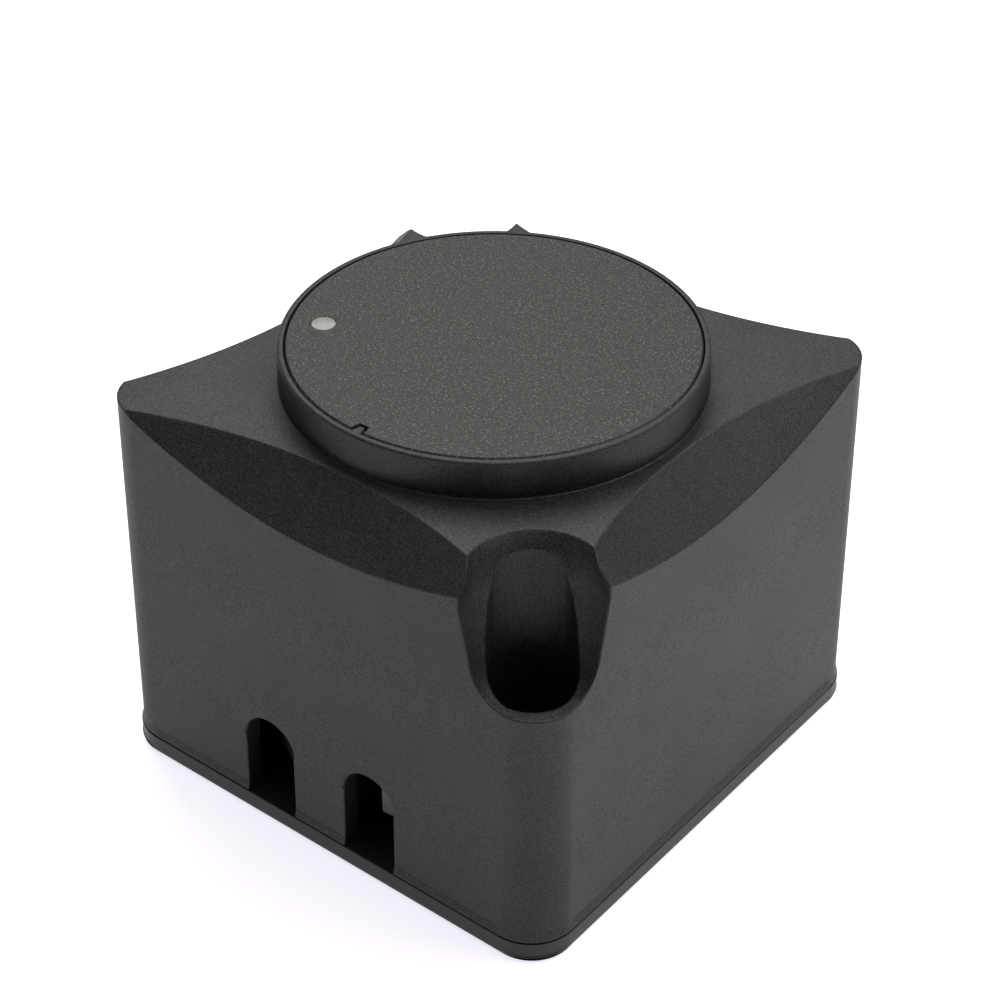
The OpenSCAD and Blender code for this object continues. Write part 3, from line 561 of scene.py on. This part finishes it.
def hang_lamps(scene):
    """Softboxes that face the relay: two behind it make its top and walls shine at their low angle
    and leave the chamfers dark, one hangs over it, and a weak one lifts the front."""
    lamps = (
        ("back_right_box", (0.435, 0.435, 0.82), 4.1),
        ("back_left_box", (-0.435, 0.435, 0.82), 4.4),
        ("overhead_box", (0, 0, 1.03), 2.0),
        ("front_left_box", (-0.656, -0.656, 0.4), 0.3),
    )
    for name, at, power in lamps:
        light = bpy.data.lights.new(name, "AREA")
        light.shape = "SQUARE"
        light.size = 0.7
        light.energy = power
        light.color = linear("#FFFDF9")
        lamp = bpy.data.objects.new(name, light)
        lamp.location = at
        lamp.rotation_euler = Vector(at).to_track_quat("Z", "Y").to_euler()
        scene.collection.objects.link(lamp)


def light_room(scene):
    """The room is dim; what the camera sees past the floor, also through glass, is white."""
    dim, white = 0.1, 1.0
    world = bpy.data.worlds.new("studio")
    scene.world = world
    world.use_nodes = True
    tree = world.node_tree
    sky = tree.nodes["Background"]
    sky.inputs["Color"].default_value = (1, 1, 1, 1)
    path = add(tree, "ShaderNodeLightPath").outputs
    seen = maths(tree, "MAXIMUM", path["Is Camera Ray"], path["Is Transmission Ray"])
    feed(tree, sky, Strength=level(tree, seen, dim, white))


class RELAY_OT_stage(bpy.types.Operator):
    """Lays the pale floor, hangs the soft lights and sets the camera"""
    bl_idname = "relay.stage"
    bl_label = "Stage"

    def execute(self, context):
        scene = context.scene
        settings = scene.relay_stage
        set_camera(scene, settings.lens)
        lay_floor(scene, settings.floor)
        hang_lamps(scene)
        light_room(scene)
        scene.view_settings.view_transform = "Standard"
        return {"FINISHED"}


# Pieces

class RELAY_OT_housing(bpy.types.Operator):
    """Moulds the housing with rounded edges and gives it its eroded grain"""
    bl_idname = "relay.housing"
    bl_label = "Housing"

    def execute(self, context):
        settings = context.scene.relay_housing
        housing = copy_of("housing", "housing_moulding")
        seam_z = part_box("base_plate")[1].z
        top_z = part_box("housing")[1].z
        # The bore that holds the disc, its crisp edge, and the collar round it
        bore_r, bore_edge, bore_part = 24.75 * MM, 0.3 * MM, 0.3
        collar_wide, collar_high = 3 * MM, 3.5 * MM
        # The part of the front wall that has the cable openings
        front_y, side_x, low_z, high_z = -33 * MM, 30 * MM, seam_z + 0.5 * MM, 17 * MM

        def share(at):
            """Full rounding round the collar's rim and the cable openings, less at the bore. The
            long chamfers and the pockets run out too finely for it, and are rounded by the
            material."""
            from_bore = abs(math.hypot(at.x, at.y) - bore_r)
            if at.z > top_z - collar_high and from_bore < collar_wide:
                return bore_part if from_bore < bore_edge else 1.0
            at_opening = at.y < front_y and abs(at.x) < side_x and low_z < at.z < high_z
            return 1.0 if at_opening else 0.0

        round_edges(housing, settings.edge, share)
        give(housing, eroded_nylon("glass_filled_nylon_eroded", settings.color, settings.grain, 0.5,
                                   settings.edge, bore_r, seam_z))
        put_on(housing, "case", "housing_plastic", "housing")
        return {"FINISHED"}


class RELAY_OT_base_plate(bpy.types.Operator):
    """Moulds the base plate and sets its screws"""
    bl_idname = "relay.base_plate"
    bl_label = "Base plate"

    def execute(self, context):
        settings = context.scene.relay_housing
        plate = copy_of("base_plate", "base_plate_moulding")
        round_edges(plate, 0.2 * MM)
        give(plate, plain_moulding("polypropylene_satin", settings.base_color, 0.4,
                                   edge=0.12 * MM))
        put_on(plate, "case", "base_plastic", "base_plate")
        dress(worked_metal("zinc_plated_steel_screw", linear("#B9BAB8"), 0.35, 0.3 * MM,
                           (1, 1, 0.3)), "base_screws")
        return {"FINISHED"}


class RELAY_OT_module(bpy.types.Operator):
    """Moulds the round module's disc and seats its window and seal"""
    bl_idname = "relay.module"
    bl_label = "Relay module"

    def execute(self, context):
        settings = context.scene.relay_module
        disc = copy_of("module_cap", "module_disc")
        round_edges(disc, settings.edge)
        give(disc, grained_plastic_painted_highlights("nylon_coarse_grain", settings.color, settings.painted_highlight,
                                    settings.grain))
        put_on(disc, "case", "disc_plastic", "module_cap")
        window = copy_of("window_lens", "indicator_window")
        round_edges(window, 0.12 * MM)
        give(window, clear_plastic("acrylic_milky", settings.lens, 0.1))
        put_on(window, "case", "lens", "window_lens")
        dress(rubber("nitrile_rubber", linear("#1B1B1B")), "sealing_ring")
        return {"FINISHED"}


class RELAY_OT_terminals(bpy.types.Operator):
    """Finishes the terminal block, its bars, posts, studs, nuts, washers and the blade"""
    bl_idname = "relay.terminals"
    bl_label = "Terminals"

    def execute(self, context):
        dress(plain_moulding("glass_filled_nylon_dull", linear("#232324"), 0.6), "terminal_block")
        dress(worked_metal("copper_stamped", linear("#C27A52"), 0.32, 0.25 * MM, (0.15, 1, 1)),
              "terminal_bars", "contact_posts")
        dress(ridged_metal("zinc_plated_steel_thread", linear("#8E8F8B"), 0.42, 1.0 * MM),
              "terminal_studs")
        dress(worked_metal("zinc_plated_steel", linear("#787974"), 0.5, 0.3 * MM, (1, 1, 0.4)),
              "flat_washers", "terminal_nuts")
        dress(worked_metal("zinc_plated_spring_steel", linear("#A9AAA8"), 0.33, 0.3 * MM,
                           (1, 1, 0.4)), "spring_washers")
        dress(worked_metal("tinned_brass_blade", linear("#CFCDC4"), 0.25, 0.2 * MM, (1, 1, 0.15)),
              "negative_tab")
        return {"FINISHED"}


class RELAY_OT_contacts(bpy.types.Operator):
    """Finishes the contacts, the bridge with its bush and clip, and the chamber round them"""
    bl_idname = "relay.contacts"
    bl_label = "Contacts"

    def execute(self, context):
        dress(plain_moulding("phenolic_moulding", linear("#6E5138"), 0.62, 0.7 * MM, 1.6),
              "contact_chamber")
        dress(worked_metal("silver_cadmium_free_alloy", linear("#DEDDD8"), 0.22, 0.2 * MM,
                           (1, 0.3, 1), 0.008 * MM), "fixed_contacts", "bridge_contacts")
        dress(worked_metal("copper_rolled", linear("#C8805A"), 0.3, 0.25 * MM, (0.15, 1, 1)),
              "bridge_bar")
        dress(plain_moulding("natural_nylon_bush", linear("#DAD3BE"), 0.45), "bridge_bush")
        dress(worked_metal("spring_steel_pressed", linear("#9C9D9D"), 0.28, 0.2 * MM, (1, 1, 1),
                           0.005 * MM), "retaining_clip")
        return {"FINISHED"}


class RELAY_OT_magnet(bpy.types.Operator):
    """Finishes the plunger and its rod, the core and the yoke"""
    bl_idname = "relay.magnet"
    bl_label = "Magnet"

    def execute(self, context):
        dress(worked_metal("soft_iron_turned_nickel", linear("#B4B2AD"), 0.3, 0.2 * MM,
                           (0.1, 0.1, 1)), "plunger", "fixed_core")
        dress(worked_metal("stainless_rod_ground", linear("#C9C9C7"), 0.2, 0.15 * MM, (1, 1, 0.15),
                           0.005 * MM), "plunger_rod")
        dress(worked_metal("yoke_steel_zinc_pressed", linear("#B7B7AE"), 0.38, 0.4 * MM,
                           (1, 0.2, 1)), "yoke_frame", "yoke_plate")
        return {"FINISHED"}


class RELAY_OT_springs(bpy.types.Operator):
    """Copies the return spring and the contact spring from their CAD nodes and gives them drawn
    spring wire
    """
    bl_idname = "relay.springs"
    bl_label = "Springs"

    def execute(self, context):
        smooth_angle = 50
        wire = worked_metal("spring_wire_drawn", linear("#A2A3A3"), 0.28, 0.2 * MM, (1, 1, 1),
                            0.005 * MM)
        # Last in millimetres: the seat's height, the free length and what the stroke takes from it
        springs = (
            ("return_spring", "case", "plunger_slide", 36.49, 7.4, 2.4),
            ("contact_spring", "bridge_set", "bridge_slide", 27.05, 2.6, 0.6),
        )
        for node, body, joint, seat, length, taken in springs:
            spring = copy_of(node, node + "_wire")
            even_faces(spring, smooth_angle)
            give(spring, wire)
            put_on(spring, body, "spring_steel", node)
            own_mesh(spring)
        return {"FINISHED"}


class RELAY_OT_coil(bpy.types.Operator):
    """Finishes the bobbin, the winding, its pins and leads"""
    bl_idname = "relay.coil"
    bl_label = "Coil"

    def execute(self, context):
        turn_pitch = 0.5 * MM
        dress(plain_moulding("natural_nylon_bobbin", linear("#DED7C2"), 0.42), "bobbin")
        dress(wound_wire("enamelled_copper_turns", linear("#A2532A"), turn_pitch), "coil_winding")
        dress(wound_wire("enamelled_copper_lead", linear("#A2532A"), turn_pitch), "coil_leads")
        dress(worked_metal("tinned_brass_pin", linear("#CFCDC4"), 0.25, 0.2 * MM, (1, 1, 0.15)),
              "coil_pins")
        return {"FINISHED"}


class RELAY_OT_circuit(bpy.types.Operator):
    """Finishes the circuit board, everything soldered on it and the wires that lead to it"""
    bl_idname = "relay.circuit"
    bl_label = "Circuit"

    def execute(self, context):
        dress(board_laminate("glass_epoxy_green_mask", linear("#1C5A34"), linear("#2F7A46")),
              "circuit_board")
        dress(plain_moulding("package_epoxy", linear("#1F1F20"), 0.5, 0.2 * MM, 1.55),
              "controller_chip", "drive_transistor", "voltage_regulator", "suppression_diode")
        dress(plain_moulding("resistor_glaze", linear("#222226"), 0.3, 0.4 * MM, 1.6),
              "chip_resistors")
        dress(plain_moulding("capacitor_sleeve", linear("#2A3052"), 0.28, 1.0 * MM),
              "smoothing_capacitor")
        dress(clear_plastic("tinted_epoxy_lens", linear("#C8452F"), 0.5), "indicator_light")
        dress(worked_metal("tinned_copper_wire", linear("#CFCDC8"), 0.25, 0.2 * MM, (1, 1, 0.15),
                           0.008 * MM), "connecting_wires")
        return {"FINISHED"}


class RELAY_PT_panel(bpy.types.Panel):
    """Lists the relay's settings and its steps"""
    bl_idname = "RELAY_PT_panel"
    bl_label = "Battery Isolator Relay"
    bl_space_type = "VIEW_3D"
    bl_region_type = "UI"
    bl_category = "Relay"

    def draw(self, context):
        scene = context.scene
        for settings in (scene.relay_housing, scene.relay_module, scene.relay_stage):
            box = self.layout.box()
            for key in settings.__annotations__:
                box.prop(settings, key)
        for step in STEPS:
            self.layout.operator(step.bl_idname)


STEPS = (
    RELAY_OT_stage,
    RELAY_OT_housing,
    RELAY_OT_base_plate,
    RELAY_OT_module,
    RELAY_OT_terminals,
    RELAY_OT_contacts,
    RELAY_OT_magnet,
    RELAY_OT_springs,
    RELAY_OT_coil,
    RELAY_OT_circuit,
)
CLASSES = (HousingSettings, ModuleSettings, StageSettings) + STEPS + (RELAY_PT_panel,)


def register():
    """Registers the classes and hangs the settings on the scene."""
    for cls in CLASSES:
        bpy.utils.register_class(cls)
    bpy.types.Scene.relay_housing = bpy.props.PointerProperty(type=HousingSettings)
    bpy.types.Scene.relay_module = bpy.props.PointerProperty(type=ModuleSettings)
    bpy.types.Scene.relay_stage = bpy.props.PointerProperty(type=StageSettings)


def unregister():
    """Takes the settings and the classes away again."""
    del bpy.types.Scene.relay_stage
    del bpy.types.Scene.relay_module
    del bpy.types.Scene.relay_housing
    for cls in reversed(CLASSES):
        bpy.utils.unregister_class(cls)


def main():
    """Runs every step in order."""
    register()
    for name in ("Cube", "Light", "Camera"):
        if name in bpy.data.objects and name not in nodes:
            bpy.data.objects.remove(bpy.data.objects[name])
    bpy.ops.relay.stage()
    bpy.ops.relay.housing()
    bpy.ops.relay.base_plate()
    bpy.ops.relay.module()
    bpy.ops.relay.terminals()
    bpy.ops.relay.contacts()
    bpy.ops.relay.magnet()
    bpy.ops.relay.springs()
    bpy.ops.relay.coil()
    bpy.ops.relay.circuit()


if __name__ == "__main__":
    main()
